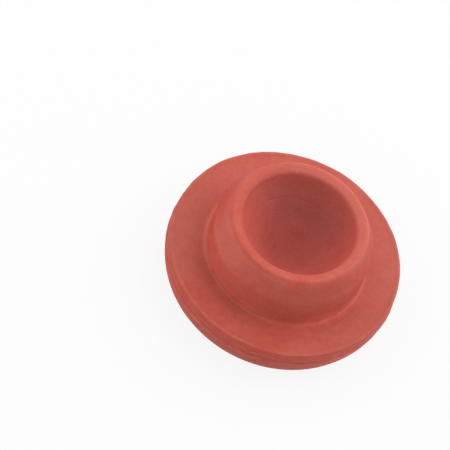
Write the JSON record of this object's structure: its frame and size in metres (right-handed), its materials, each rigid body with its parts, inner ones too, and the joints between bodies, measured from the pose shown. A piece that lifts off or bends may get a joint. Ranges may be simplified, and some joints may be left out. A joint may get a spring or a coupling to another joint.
{
  "type": "rubber stopper",
  "caption": "Moulded rubber vial stopper lying on its head: a thick round head with a softly rounded edge, and a short tapered hollow plug pointing up.",
  "frame": {"origin": "centre of the head's flat face, on the surface that the stopper lies on", "axes": "+Z along the stopper's axis, from the flat face of the head to the open end of the plug; X and Y are any two directions across it"},
  "size_m": [0.019, 0.019, 0.0085],
  "materials": {
    "rubber": "matte moulded red rubber"
  },
  "bodies": {
    "root": {"stopper": "rubber"}
  },
  "joints": []
}
